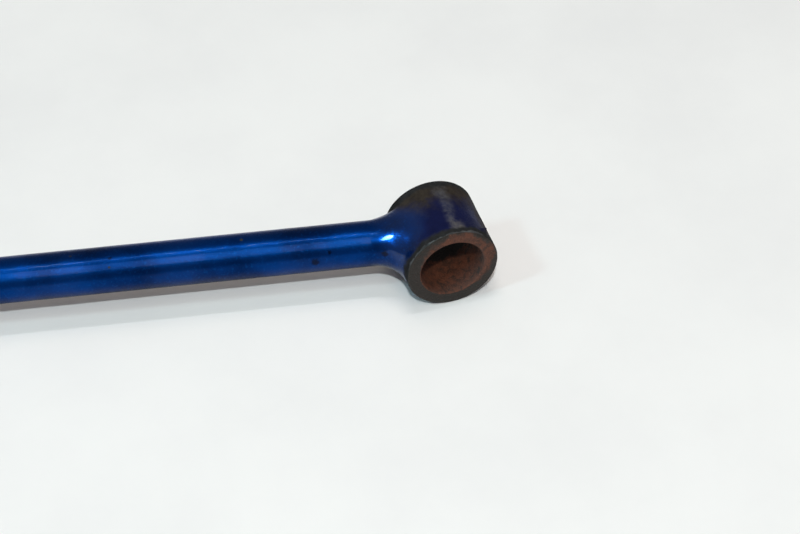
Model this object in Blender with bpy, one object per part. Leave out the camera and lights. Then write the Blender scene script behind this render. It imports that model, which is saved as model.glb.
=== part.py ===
"""Anti-roll (sway) bar of a car, with its bushing eyes, saddle mounts and lock collars.

A solid round bar is bent to a U: a straight torsion section along X, and an arm at each end
that points to -Y and splays outward. A thick-walled tube, the bushing eye, is welded across
the end of each arm. Split D bushings in saddle brackets carry the torsion section and turn
on it, and clamp collars beside them keep the bar from sliding sideways.

Metres, +Z up. The bar lies as it would on a table: the eyes and the crowns of the brackets
touch z = 0, and the brackets' flanges face up, as they do under a frame rail. The origin is
in the middle of the footprint.
"""
import math

import bmesh
import bpy
from mathutils import Vector

# ---------------------------------------------------------------- driving dimensions
GAP = 0.0003                    # clearance kept between neighbouring pieces

BAR_RADIUS = 0.0095             # 19 mm solid bar
BEND_RADIUS = 0.055             # of the centre line, at the two corners of the U
SPLAY = math.radians(10.0)      # each arm opens outward by this angle

EYE_RADIUS = 0.01925            # 38.5 mm tube
EYE_BORE_RADIUS = 0.0135
EYE_LENGTH = 0.033
EYE_CHAMFER = 0.0007
EYE_X = 0.430                   # eye centre from the middle of the bar
ARM_REACH = 0.255               # eye axis from the torsion axis, along Y
EYE_OUTSET = 0.0016             # eye centre outboard of the arm's axis
EYE_DROP = 0.0017               # eye centre below the bar's axis

WELD_START = 0.030              # from the eye's axis back along the arm to the weld's toe
WELD_HALF_WIDTH = 0.0158        # the weld's reach along the eye, each way
WELD_WRAP_UP = math.radians(72.0)       # how far it wraps over the eye
WELD_WRAP_DOWN = math.radians(64.0)     # and under it
WELD_FULL_SIDE = math.radians(50.0)     # the side of the arm on which the weld is fullest
WELD_HOLLOW = 0.45              # how hollow the fillet is where it is leanest
WELD_FILL_BAR = 0.16            # how much less hollow it is on its full side, at the bar
WELD_FILL_EYE = 0.30            # and at the eye
WELD_EDGE = 0.0005              # thickness of the weld's thin edge
WELD_SQUARENESS = 0.8           # below 1, the weld's edge on the eye is squarer than an ellipse
WELD_CORE = 0.6                 # the weld's inner end, as a part of the way out from the eye

MOUNT_X = 0.285                 # middle of each bracket
STRAP = 0.003                   # thickness of the bracket's steel
STRAP_WIDTH = 0.026
FLAT_HEIGHT = 0.0165            # the flanges' upper face above the bar's axis
FLANGE_REACH = 0.046            # flange end from the bar's axis
FLANGE_CORNER = 0.006
BEND_INSIDE = 0.002             # inner radius where the strap turns out to its flange
LIP_WIDTH = 0.0025              # the bushing's end lips, which hold the strap between them
LIP_HEIGHT = 0.0021
BUSHING_SLIT = 0.0008

BOLT_Y = 0.0335                 # bolts from the bar's axis
BOLT_RADIUS = 0.004             # M8
BOLT_LENGTH = 0.025
HEX_FLATS = 0.013
HEAD_HEIGHT = 0.0053
NUT_HEIGHT = 0.0065
WASHER_RADIUS = 0.008
WASHER_THICKNESS = 0.0016
LOCK_WASHER_RADIUS = 0.0072
LOCK_WASHER_THICKNESS = 0.002
LOCK_WASHER_SPLIT = 0.0012
LOCK_WASHER_SLANT = 0.12        # radians that the split leans over the washer's thickness

COLLAR_RADIUS = 0.019
COLLAR_WIDTH = 0.012
COLLAR_SLOT = 0.0016
COLLAR_SCREW_HEIGHT = 0.0142    # screw axis above the bar's axis
SCREW_RADIUS = 0.003            # M6 cap screw
SCREW_HEAD_RADIUS = 0.005
SCREW_HEAD_HEIGHT = 0.006
SCREW_SEAT = 0.0045             # the head's seat from the slot's middle
SCREW_TIP = -0.0095
SOCKET_RADIUS = 0.0028
SOCKET_DEPTH = 0.003

# ---------------------------------------------------------------- places that follow
AXIS_Z = EYE_RADIUS + EYE_DROP                           # the bar's axis above the table
AXIS_Y = (ARM_REACH + EYE_RADIUS - FLANGE_REACH) / 2     # the torsion axis
EYE_Y = AXIS_Y - ARM_REACH
BUSHING_RADIUS = AXIS_Z - STRAP - GAP                    # so that the strap's crown is at z = 0
BUSHING_WIDTH = STRAP_WIDTH + 2 * GAP + 2 * LIP_WIDTH
COLLAR_X = MOUNT_X - BUSHING_WIDTH / 2 - GAP - COLLAR_WIDTH / 2

SIDES = (("left", -1), ("right", 1))
ENDS = (("front", -1), ("rear", 1))


# ---------------------------------------------------------------- helpers
def material(name, color, roughness, metallic):
    """A Principled BSDF with one colour."""
    made = bpy.data.materials.new(name)
    made.use_nodes = True
    shader = made.node_tree.nodes["Principled BSDF"]
    shader.inputs["Base Color"].default_value = (*color, 1.0)
    shader.inputs["Roughness"].default_value = roughness
    shader.inputs["Metallic"].default_value = metallic
    made.diffuse_color = (*color, 1.0)
    return made


def add_object(name, bm, finish, parent=None, location=(0, 0, 0), rotation=(0, 0, 0)):
    """Make a smooth-shaded object from a bmesh, whose faces are first turned outward."""
    bmesh.ops.recalc_face_normals(bm, faces=bm.faces)
    mesh = bpy.data.meshes.new(name)
    bm.to_mesh(mesh)
    bm.free()
    mesh.materials.append(finish)
    mesh.shade_smooth()
    mesh.set_sharp_from_angle(angle=math.radians(30))
    obj = bpy.data.objects.new(name, mesh)
    bpy.context.collection.objects.link(obj)
    obj.parent = parent
    obj.location = location
    obj.rotation_euler = rotation
    return obj


def add_axis(name, location):
    """An empty on a hinge axis, for what turns together."""
    empty = bpy.data.objects.new(name, None)
    empty.empty_display_size = 0.02
    empty.location = location
    bpy.context.collection.objects.link(empty)
    return empty


def loft(rings, closed=False):
    """Skin rings of equal length; the ends are capped, or joined to each other if closed."""
    bm = bmesh.new()
    loops = [[bm.verts.new(point) for point in ring] for ring in rings]
    pairs = list(zip(loops, loops[1:]))
    if closed:
        pairs.append((loops[-1], loops[0]))
    for low, high in pairs:
        for k in range(len(low)):
            after = (k + 1) % len(low)
            bm.faces.new((low[k], low[after], high[after], high[k]))
    if not closed:
        bm.faces.new(loops[0])
        bm.faces.new(loops[-1])
    return bm


def circle(radius, count, height=0.0, start=0.0):
    """Points of a circle about Z."""
    angles = [start + 2 * math.pi * k / count for k in range(count)]
    return [Vector((radius * math.cos(a), radius * math.sin(a), height)) for a in angles]


def hexagon(flats, count, height):
    """Points along a hexagon about Z; count is a multiple of six."""
    points = []
    for k in range(count):
        angle = 2 * math.pi * k / count
        off_flat = (angle + math.pi / 6) % (math.pi / 3) - math.pi / 6
        reach = flats / 2 / math.cos(off_flat)
        points.append(Vector((reach * math.cos(angle), reach * math.sin(angle), height)))
    return points


def along_x(points, x):
    """Points given as (y, z) pairs, placed in the plane at x."""
    return [Vector((x, y, z)) for y, z in points]


def arc(centre, radius, start, end, steps):
    """(y, z) points along an arc; the angles are in degrees from +Y towards +Z."""
    turns = [math.radians(start + (end - start) * k / steps) for k in range(steps + 1)]
    return [(centre[0] + radius * math.cos(a), centre[1] + radius * math.sin(a)) for a in turns]


def cut(obj, cutter_bm, name, location=(0, 0, 0), rotation=(0, 0, 0), parent=None):
    """Take a shape away from an object with a Boolean modifier."""
    bmesh.ops.recalc_face_normals(cutter_bm, faces=cutter_bm.faces)
    mesh = bpy.data.meshes.new(name)
    cutter_bm.to_mesh(mesh)
    cutter_bm.free()
    cutter = bpy.data.objects.new(name, mesh)
    bpy.context.collection.objects.link(cutter)
    cutter.parent = parent
    cutter.location = location
    cutter.rotation_euler = rotation
    cutter.hide_render = True
    cutter.display_type = "WIRE"
    modifier = obj.modifiers.new(name, "BOOLEAN")
    modifier.operation = "DIFFERENCE"
    modifier.object = cutter


def cylinder(radius, length, count=32):
    """A plain cylinder about Z, centred on its origin."""
    return loft([circle(radius, count, -length / 2), circle(radius, count, length / 2)])


# ---------------------------------------------------------------- the bar
def arm_direction(side):
    """Unit vector from the torsion section towards the eye."""
    return Vector((side * math.sin(SPLAY), -math.cos(SPLAY), 0))


def eye_centre(side):
    return Vector((side * EYE_X, EYE_Y, EYE_RADIUS))


def arm_end(side):
    """The point of the arm's axis beside the eye's centre."""
    return eye_centre(side) + Vector((-side * EYE_OUTSET, 0, EYE_DROP))


def bar_centre_line(bend_steps=16):
    """Centre line from the left arm's end to the right arm's, with a tangent at each point."""
    direction = arm_direction(1)
    turn = math.pi / 2 - SPLAY
    end = arm_end(1)
    corner_x = end.x + direction.x * (AXIS_Y - end.y) / direction.y
    bend_start = corner_x - BEND_RADIUS * math.tan(turn / 2)
    right = [(Vector((bend_start, AXIS_Y, AXIS_Z)), Vector((1, 0, 0)))]
    for k in range(1, bend_steps + 1):
        a = turn * k / bend_steps
        offset = Vector((math.sin(a), math.cos(a) - 1, 0)) * BEND_RADIUS
        right.append((right[0][0] + offset, Vector((math.cos(a), -math.sin(a), 0))))
    right.append((end, direction))
    left = [(Vector((-p.x, p.y, p.z)), Vector((t.x, -t.y, 0))) for p, t in reversed(right)]
    return left + right


def make_bar(finish, sides=28):
    rings = []
    for point, tangent in bar_centre_line():
        across = Vector((-tangent.y, tangent.x, 0))
        rings.append([
            point + across * p.x + Vector((0, 0, p.y))
            for p in circle(BAR_RADIUS, sides)
        ])
    bar = add_object("bar", loft(rings), finish)
    for side_name, side in SIDES:
        cope = cylinder(EYE_RADIUS + GAP, 2 * EYE_LENGTH, 64)
        cut(bar, cope, side_name + "_cope", eye_centre(side), (0, math.pi / 2, 0))


# ---------------------------------------------------------------- the eyes and their welds
def make_eye(side_name, side, finish, count=48):
    half = EYE_LENGTH / 2
    bore, outer, c = EYE_BORE_RADIUS, EYE_RADIUS, EYE_CHAMFER
    profile = [
        (bore, half - c), (bore + c, half), (outer - c, half), (outer, half - c),
        (outer, c - half), (outer - c, -half), (bore + c, -half), (bore, c - half),
    ]
    rings = [circle(radius, count, height) for radius, height in profile]
    add_object(side_name + "_eye", loft(rings, closed=True), finish,
               location=eye_centre(side), rotation=(0, math.pi / 2, 0))


def weld_line(side, angle, steps):
    """One line of the weld's outer surface, from its toe on the bar to its edge on the eye.

    angle runs about the arm, from inboard over the top. The line leaves the bar along the arm
    and reaches the eye along the eye's own skin, so the fillet is concave and runs out
    smoothly at both ends. It is fullest in the acute corner, inboard and above.
    """
    centre, direction = eye_centre(side), arm_direction(side)
    inboard = Vector((-side * math.cos(SPLAY), -math.sin(SPLAY), 0))
    radial = inboard * math.cos(angle) + Vector((0, 0, 1)) * math.sin(angle)
    first = arm_end(side) - direction * WELD_START + radial * (BAR_RADIUS + WELD_EDGE)
    across = math.copysign(abs(math.cos(angle)) ** WELD_SQUARENESS, math.cos(angle))
    wrap = (WELD_WRAP_UP if math.sin(angle) > 0 else WELD_WRAP_DOWN) * math.sin(angle)
    reach = EYE_RADIUS + WELD_EDGE
    last = centre + Vector((-side * WELD_HALF_WIDTH * across,
                            reach * math.cos(wrap), reach * math.sin(wrap)))
    skin = Vector((-side * math.cos(angle), -math.sin(wrap) * math.sin(angle),
                   math.cos(wrap) * math.sin(angle))).normalized()
    fullness = 0.5 + 0.5 * math.cos(angle - WELD_FULL_SIDE)
    span = (last - first).length
    lead = (WELD_HOLLOW - WELD_FILL_BAR * fullness) * span
    run_out = (WELD_HOLLOW - WELD_FILL_EYE * fullness) * span
    return [bezier(first, first + direction * lead, last - skin * run_out, last, j / steps)
            for j in range(steps + 1)]


def bezier(a, b, c, d, t):
    s = 1 - t
    return a * s ** 3 + b * (3 * s * s * t) + c * (3 * s * t * t) + d * t ** 3


def make_weld(side_name, side, finish, count=40, steps=8):
    lines = [weld_line(side, 2 * math.pi * k / count, steps) for k in range(count)]
    rings = [[line[j] for line in lines] for j in range(steps + 1)]
    core = [eye_centre(side).lerp(point, WELD_CORE) for point in rings[-1]]
    weld = add_object(side_name + "_eye_weld", loft(rings + [core]), finish)
    direction = arm_direction(side)
    middle = arm_end(side) - direction * WELD_START
    tilt = direction.to_track_quat("Z", "Y").to_euler()
    cut(weld, cylinder(BAR_RADIUS + GAP, 4 * WELD_START, 28), side_name + "_weld_bore",
        middle, tilt)
    cut(weld, cylinder(EYE_RADIUS + GAP, 2 * EYE_LENGTH, 64), side_name + "_weld_seat",
        eye_centre(side), (0, math.pi / 2, 0))


# ---------------------------------------------------------------- saddle mounts
def d_outline(radius, steps=14):
    """The D's outer line: up the rear side, over the flat, down the front, round the crown."""
    flat = FLAT_HEIGHT
    slit = BUSHING_SLIT / 2
    crown = arc((0, 0), radius, 180, 360, steps)
    return [(radius, slit), (radius, flat), (-radius, flat)] + crown[:-1] + [(radius, -slit)]


def make_bushing(side_name, axis, finish, bore_steps=26):
    """Rubber D bushing: a bore with a slit to its rear, and a groove for the strap."""
    bore = BAR_RADIUS + GAP
    slit_angle = math.degrees(math.asin(BUSHING_SLIT / 2 / bore))
    inner = arc((0, 0), bore, 360 - slit_angle, slit_angle, bore_steps)
    half, groove = BUSHING_WIDTH / 2, STRAP_WIDTH / 2 + GAP
    chamfer = 0.0005
    lip = d_outline(BUSHING_RADIUS + LIP_HEIGHT) + inner
    low = d_outline(BUSHING_RADIUS) + inner
    stations = [
        (-half, lip), (-groove - chamfer, lip), (-groove, low),
        (groove, low), (groove + chamfer, lip), (half, lip),
    ]
    bm = loft([along_x(outline, x) for x, outline in stations])
    add_object(side_name + "_bushing", bm, finish, axis)


def strap_line(inset, steps=16):
    """One face of the strap, from the front flange round the crown to the rear flange.

    inset is the distance from the strap's inner and upper face towards its other face.
    """
    wall = BUSHING_RADIUS + GAP + inset
    level = FLAT_HEIGHT - inset
    bend = BEND_INSIDE + STRAP - inset
    centre = BUSHING_RADIUS + GAP + STRAP + BEND_INSIDE, FLAT_HEIGHT - STRAP - BEND_INSIDE
    rear = arc(centre, bend, 180, 90, 5)
    front = [(-y, z) for y, z in reversed(rear)]
    crown = arc((0, 0), wall, 180, 360, steps)
    return [(-FLANGE_REACH, level)] + front + crown + rear + [(FLANGE_REACH, level)]


def make_bracket(side_name, axis, finish):
    outline = strap_line(0) + list(reversed(strap_line(STRAP)))
    half = STRAP_WIDTH / 2
    bm = loft([along_x(outline, -half), along_x(outline, half)])
    corners = [
        edge for edge in bm.edges
        if all(abs(abs(v.co.y) - FLANGE_REACH) < GAP for v in edge.verts)
        and abs(edge.verts[0].co.x - edge.verts[1].co.x) < GAP
    ]
    bmesh.ops.bevel(bm, geom=corners, offset=FLANGE_CORNER, segments=4, affect="EDGES", profile=0.5)
    bracket = add_object(side_name + "_bracket", bm, finish, axis)
    for end_name, end in ENDS:
        cut(bracket, cylinder(BOLT_RADIUS + 2 * GAP, 4 * STRAP, 24),
            f"{side_name}_{end_name}_bolt_hole", (0, end * BOLT_Y, FLAT_HEIGHT - STRAP / 2),
            parent=axis)


def make_bolt(name, axis, y, finish, count=18):
    """Hexagon bolt, head down; its origin is under the head."""
    tip_chamfer, edge = 0.0008, 0.0006
    rings = [
        circle(BOLT_RADIUS - tip_chamfer, count, BOLT_LENGTH),
        circle(BOLT_RADIUS, count, BOLT_LENGTH - tip_chamfer),
        circle(BOLT_RADIUS, count, 0),
        hexagon(HEX_FLATS, count, 0),
        hexagon(HEX_FLATS, count, edge - HEAD_HEIGHT),
        circle(HEX_FLATS / 2 - edge / 2, count, -HEAD_HEIGHT),
    ]
    seat = FLAT_HEIGHT - STRAP - WASHER_THICKNESS - 2 * GAP
    add_object(name, loft(rings), finish, axis, (0, y, seat))


def make_nut(name, axis, y, finish, count=18):
    edge = 0.0005
    bore = BOLT_RADIUS + GAP
    rings = [
        circle(bore, count, 0),
        circle(HEX_FLATS / 2 - edge / 2, count, 0),
        hexagon(HEX_FLATS, count, edge),
        hexagon(HEX_FLATS, count, NUT_HEIGHT - edge),
        circle(HEX_FLATS / 2 - edge / 2, count, NUT_HEIGHT),
        circle(bore, count, NUT_HEIGHT),
    ]
    seat = FLAT_HEIGHT + LOCK_WASHER_THICKNESS + 2 * GAP
    add_object(name, loft(rings, closed=True), finish, axis, (0, y, seat))


def make_washer(name, axis, y, finish, count=24):
    bore = BOLT_RADIUS + GAP
    top = WASHER_THICKNESS
    rings = [
        circle(bore, count, 0), circle(WASHER_RADIUS, count, 0),
        circle(WASHER_RADIUS, count, top), circle(bore, count, top),
    ]
    seat = FLAT_HEIGHT - STRAP - GAP - WASHER_THICKNESS
    add_object(name, loft(rings, closed=True), finish, axis, (0, y, seat))


def make_lock_washer(name, axis, y, side, finish, steps=22):
    """Spring washer: a ring of square section with a slanted split that faces +Y."""
    bore = BOLT_RADIUS + GAP
    half_split = LOCK_WASHER_SPLIT / 2 / LOCK_WASHER_RADIUS
    slant = LOCK_WASHER_SLANT * side
    sections = []
    for k in range(steps + 1):
        part = k / steps
        angle = math.pi / 2 + half_split + part * (2 * math.pi - 2 * half_split)
        corners = [(bore, 0), (LOCK_WASHER_RADIUS, 0),
                   (LOCK_WASHER_RADIUS, LOCK_WASHER_THICKNESS), (bore, LOCK_WASHER_THICKNESS)]
        ring = []
        for radius, height in corners:
            turned = angle + slant * (height / LOCK_WASHER_THICKNESS - 0.5)
            ring.append(Vector((radius * math.cos(turned), radius * math.sin(turned), height)))
        sections.append(ring)
    add_object(name, loft(sections), finish, axis, (0, y, FLAT_HEIGHT + GAP))


# ---------------------------------------------------------------- lock collars
def make_collar(side_name, centre, finish, steps=36):
    """One-piece clamp collar: a thick ring with a slot at its top and a pocket for its screw."""
    bore = BAR_RADIUS + GAP
    half, chamfer = COLLAR_WIDTH / 2, 0.0006
    outer_start = 90 + math.degrees(math.asin(COLLAR_SLOT / 2 / COLLAR_RADIUS))
    inner_start = 90 + math.degrees(math.asin(COLLAR_SLOT / 2 / bore))

    def outline(shrink):
        outside = arc((0, 0), COLLAR_RADIUS - shrink, outer_start, 540 - outer_start, steps)
        inside = arc((0, 0), bore + shrink, 540 - inner_start, inner_start, steps)
        return outside + inside

    stations = [(-half, chamfer), (chamfer - half, 0), (half - chamfer, 0), (half, chamfer)]
    bm = loft([along_x(outline(shrink), x) for x, shrink in stations])
    collar = add_object(side_name + "_collar", bm, finish, location=centre)
    level = centre + Vector((0, 0, COLLAR_SCREW_HEIGHT))
    cut(collar, cylinder(SCREW_RADIUS + GAP, 3 * COLLAR_RADIUS, 24), side_name + "_screw_hole",
        level, (math.pi / 2, 0, 0))
    pocket = cylinder(SCREW_HEAD_RADIUS + GAP, COLLAR_RADIUS, 24)
    cut(collar, pocket, side_name + "_screw_pocket",
        level + Vector((0, SCREW_SEAT + COLLAR_RADIUS / 2, 0)), (math.pi / 2, 0, 0))


def make_collar_screw(side_name, centre, finish, count=24):
    """Socket head cap screw along Y, its head towards +Y; its origin is at the head's seat."""
    edge = 0.0005
    seat = SCREW_SEAT + GAP
    socket = 2 * SOCKET_RADIUS * math.cos(math.pi / 6)
    rings = [
        circle(SCREW_RADIUS - edge, count, SCREW_TIP - seat),
        circle(SCREW_RADIUS, count, SCREW_TIP - seat + edge),
        circle(SCREW_RADIUS, count, 0),
        circle(SCREW_HEAD_RADIUS, count, 0),
        circle(SCREW_HEAD_RADIUS, count, SCREW_HEAD_HEIGHT - edge),
        circle(SCREW_HEAD_RADIUS - edge, count, SCREW_HEAD_HEIGHT),
        hexagon(socket, count, SCREW_HEAD_HEIGHT),
        hexagon(socket, count, SCREW_HEAD_HEIGHT - SOCKET_DEPTH),
    ]
    level = centre + Vector((0, seat, COLLAR_SCREW_HEIGHT))
    add_object(side_name + "_collar_screw", loft(rings), finish, location=level,
               rotation=(-math.pi / 2, 0, 0))


# ---------------------------------------------------------------- assembly
def make_mount(side_name, side, rubber, strap_steel, zinc):
    """Bushing, bracket and fasteners, all on one empty that turns about the bar's axis."""
    axis = add_axis(side_name + "_bracket_axis", (side * MOUNT_X, AXIS_Y, AXIS_Z))
    make_bushing(side_name, axis, rubber)
    make_bracket(side_name, axis, strap_steel)
    for end_name, end in ENDS:
        stem = f"{side_name}_{end_name}_"
        make_bolt(stem + "bolt", axis, end * BOLT_Y, zinc)
        make_washer(stem + "washer", axis, end * BOLT_Y, zinc)
        make_lock_washer(stem + "lock_washer", axis, end * BOLT_Y, side, zinc)
        make_nut(stem + "nut", axis, end * BOLT_Y, zinc)


def build():
    for obj in list(bpy.data.objects):
        bpy.data.objects.remove(obj, do_unlink=True)

    blue_paint = material("blue_paint", (0.010, 0.060, 0.260), 0.28, 0.6)
    eye_paint = material("eye_paint", (0.012, 0.016, 0.100), 0.34, 0.5)
    rubber = material("rubber", (0.018, 0.018, 0.020), 0.75, 0.0)
    strap_steel = material("strap_steel", (0.030, 0.030, 0.033), 0.50, 0.3)
    zinc = material("zinc", (0.560, 0.570, 0.580), 0.32, 1.0)
    black_oxide = material("black_oxide", (0.040, 0.040, 0.043), 0.42, 0.8)

    make_bar(blue_paint)
    for side_name, side in SIDES:
        make_eye(side_name, side, eye_paint)
        make_weld(side_name, side, blue_paint)
        make_mount(side_name, side, rubber, strap_steel, zinc)
        collar_centre = Vector((side * COLLAR_X, AXIS_Y, AXIS_Z))
        make_collar(side_name, collar_centre, zinc)
        make_collar_screw(side_name, collar_centre, black_oxide)


build()
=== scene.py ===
"""Looks of the sway bar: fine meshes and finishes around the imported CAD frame.

Every piece is modelled where it lies, in the row frame (metres, +Z up), so an object's own
coordinates are the frame's too, and the materials place their wear by them. X runs along the
torsion section, the arms point to -Y, and the bar lies on the floor at z = 0.
"""
import math

import bmesh
import bpy
from mathutils import Matrix, Quaternion, Vector, noise


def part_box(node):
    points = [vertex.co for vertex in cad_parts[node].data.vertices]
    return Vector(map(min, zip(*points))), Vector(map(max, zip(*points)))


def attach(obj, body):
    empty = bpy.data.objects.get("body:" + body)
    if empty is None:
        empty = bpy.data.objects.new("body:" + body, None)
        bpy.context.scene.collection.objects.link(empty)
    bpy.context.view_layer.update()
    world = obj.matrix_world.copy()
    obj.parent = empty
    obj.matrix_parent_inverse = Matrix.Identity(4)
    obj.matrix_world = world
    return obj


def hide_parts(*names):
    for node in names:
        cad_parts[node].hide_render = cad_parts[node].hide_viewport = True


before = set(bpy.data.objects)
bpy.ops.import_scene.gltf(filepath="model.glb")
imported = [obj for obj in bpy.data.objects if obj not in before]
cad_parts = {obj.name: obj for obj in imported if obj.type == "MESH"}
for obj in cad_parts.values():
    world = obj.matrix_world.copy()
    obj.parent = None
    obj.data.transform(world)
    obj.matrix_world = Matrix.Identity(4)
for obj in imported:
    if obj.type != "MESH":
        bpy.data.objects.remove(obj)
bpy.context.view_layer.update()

# ---------------------------------------------------------------- sizes from the frame
BAR_LOW, BAR_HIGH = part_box("bar")
EYE_LOW, EYE_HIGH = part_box("right_eye")
STRAP_LOW, STRAP_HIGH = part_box("right_bracket")
BUSH_LOW, BUSH_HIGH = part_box("right_bushing")
COLLAR_LOW, COLLAR_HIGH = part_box("right_collar")
WASHER_LOW, WASHER_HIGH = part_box("right_front_washer")
LOCK_LOW, LOCK_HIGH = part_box("right_front_lock_washer")
NUT_LOW, NUT_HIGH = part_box("right_front_nut")
BOLT_LOW, BOLT_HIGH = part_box("right_front_bolt")
REAR_BOLT_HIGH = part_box("right_rear_bolt")[1]
SCREW_LOW, SCREW_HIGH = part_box("right_collar_screw")

BAR_RADIUS = (BAR_HIGH.z - BAR_LOW.z) / 2
AXIS_Z = (BAR_HIGH.z + BAR_LOW.z) / 2
AXIS_Y = BAR_HIGH.y - BAR_RADIUS
EYE_RADIUS = (EYE_HIGH.z - EYE_LOW.z) / 2
EYE_LENGTH = EYE_HIGH.x - EYE_LOW.x
EYE_MIDDLE = (EYE_HIGH + EYE_LOW) / 2
MOUNT_X = (STRAP_HIGH.x + STRAP_LOW.x) / 2
FLAT_HEIGHT = STRAP_HIGH.z - AXIS_Z
FLANGE_REACH = (STRAP_HIGH.y - STRAP_LOW.y) / 2
STRAP_WIDTH = STRAP_HIGH.x - STRAP_LOW.x
BOLT_Y = (REAR_BOLT_HIGH.y - BOLT_HIGH.y) / 2
COLLAR_X = (COLLAR_HIGH.x + COLLAR_LOW.x) / 2
COLLAR_RADIUS = (COLLAR_HIGH.z - COLLAR_LOW.z) / 2

# ---------------------------------------------------------------- sizes the boxes don't give
GAP = 0.0003                    # kept between neighbouring pieces
SPLAY = math.radians(10.0)      # each arm opens outward by this angle
BEND_RADIUS = 0.055             # of the bar's centre line

EYE_BORE = 0.0135               # radius of the bore
EYE_EDGE = 0.0008               # radius of the rounding on the eye's edges
EYE_OUTSET = 0.0016             # eye centre outboard of the arm's axis
EYE_DROP = AXIS_Z - EYE_MIDDLE.z
EYE_UNEVEN = 0.00008            # how far the eye's skin wanders from a true round
BURR_INSET = 0.0042             # from the eye's outboard face
BURR_ANGLE = math.radians(42)   # above the level, on the side that faces away from the arm
BURR_HEIGHT = 0.0019
BURR_SPREAD = 0.0010

WELD_START = 0.030              # from the eye's axis back along the arm to the weld's toe
WELD_HALF_WIDTH = 0.0158        # its reach along the eye, each way
WELD_WRAP_UP = math.radians(72.0)       # how far it wraps over the eye
WELD_WRAP_DOWN = math.radians(64.0)     # and under it
WELD_FULL_SIDE = math.radians(50.0)     # the side of the arm on which it is fullest
WELD_HOLLOW = 0.45              # how hollow it is where it is leanest
WELD_FILL_BAR = 0.16            # how much less hollow it is on its full side, at the bar
WELD_FILL_EYE = 0.30            # and at the eye
WELD_SQUARENESS = 0.8           # below 1, its edge on the eye is squarer than an ellipse
WELD_SINK = 0.00006             # how far its outer face runs in under the bar's and the eye's skin
WELD_SKIN = 0.0015              # and its hidden inner face
WELD_SWELL = 0.00022            # height of the unevenness of its bead

STRAP = 0.003                   # thickness of the bracket's steel
STRAP_BEND = 0.002              # inner radius where the strap turns out to its flange
FLANGE_CORNER = 0.006
BUSHING_HALF_SLIT = 0.0004
LIP_STEP = 0.0005               # slope of the bushing's end lips, along X

BOLT_RADIUS = 0.004
THREAD_PITCH = 0.00125
THREAD_DEPTH = 0.0006
THREAD_TIP = 0.0007             # how much the bolt's point tapers in
HEX_FLATS = 0.013
HEX_CONE = 0.96                 # where a hexagon's turned chamfer begins, in half flats
HEX_CHAMFER = math.tan(math.radians(30))
NUT_COUNTERSINK = 0.0006
LOCK_SPLIT = 0.083              # half of the spring washer's split, in radians
LOCK_SLANT = 0.12               # radians that the split leans over the washer's thickness

COLLAR_HALF_SLOT = 0.0008
SCREW_RADIUS = 0.003
SCREW_HEAD_RADIUS = 0.005
SCREW_HEAD_HEIGHT = 0.006
SCREW_SEAT = 0.0045             # the head's seat from the slot's middle
SCREW_EDGE = 0.0005
SOCKET_REACH = 0.005            # across the flats of the socket
SOCKET_DEPTH = 0.003

SIDES = (("left", -1), ("right", 1))
ENDS = (("front", -1), ("rear", 1))


# ---------------------------------------------------------------- mesh helpers
def loft(rings, closed=False):
    """Skin rings of equal length; the ends are capped, or joined to each other if closed."""
    bm = bmesh.new()
    loops = [[bm.verts.new(point) for point in ring] for ring in rings]
    pairs = list(zip(loops, loops[1:]))
    if closed:
        pairs.append((loops[-1], loops[0]))
    for low, high in pairs:
        for k in range(len(low)):
            after = (k + 1) % len(low)
            bm.faces.new((low[k], low[after], high[after], high[k]))
    if not closed:
        bm.faces.new(loops[0])
        bm.faces.new(loops[-1])
    return bm


def circle(radius, count, height=0.0):
    angles = [2 * math.pi * k / count for k in range(count)]
    return [Vector((radius * math.cos(a), radius * math.sin(a), height)) for a in angles]


def hex_reach(angle, flats):
    """Distance from a hexagon's centre to its side at an angle."""
    off_flat = (angle + math.pi / 6) % (math.pi / 3) - math.pi / 6
    return flats / 2 / math.cos(off_flat)


def hexagon(flats, count, height):
    points = []
    for k in range(count):
        angle = 2 * math.pi * k / count
        reach = hex_reach(angle, flats)
        points.append(Vector((reach * math.cos(angle), reach * math.sin(angle), height)))
    return points


def arc(radius, start, end, steps, centre=(0.0, 0.0)):
    """(y, z) points along an arc; the angles are in degrees from +Y towards +Z."""
    turns = [math.radians(start + (end - start) * k / steps) for k in range(steps + 1)]
    return [(centre[0] + radius * math.cos(a), centre[1] + radius * math.sin(a)) for a in turns]


def along_x(points, x):
    return [Vector((x, y, z)) for y, z in points]


def cylinder(radius, low, high, count=64):
    return loft([circle(radius, count, low), circle(radius, count, high)])


def to_mesh(name, bm, place):
    bmesh.ops.transform(bm, matrix=place, verts=bm.verts)
    bmesh.ops.recalc_face_normals(bm, faces=bm.faces)
    mesh = bpy.data.meshes.new(name)
    bm.to_mesh(mesh)
    bm.free()
    return mesh


def evaluated(obj):
    """The object's mesh with its modifiers applied, in place of the modifiers."""
    bpy.context.view_layer.update()
    graph = bpy.context.evaluated_depsgraph_get()
    mesh = bpy.data.meshes.new_from_object(obj.evaluated_get(graph))
    obj.modifiers.clear()
    obj.data = mesh


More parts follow.
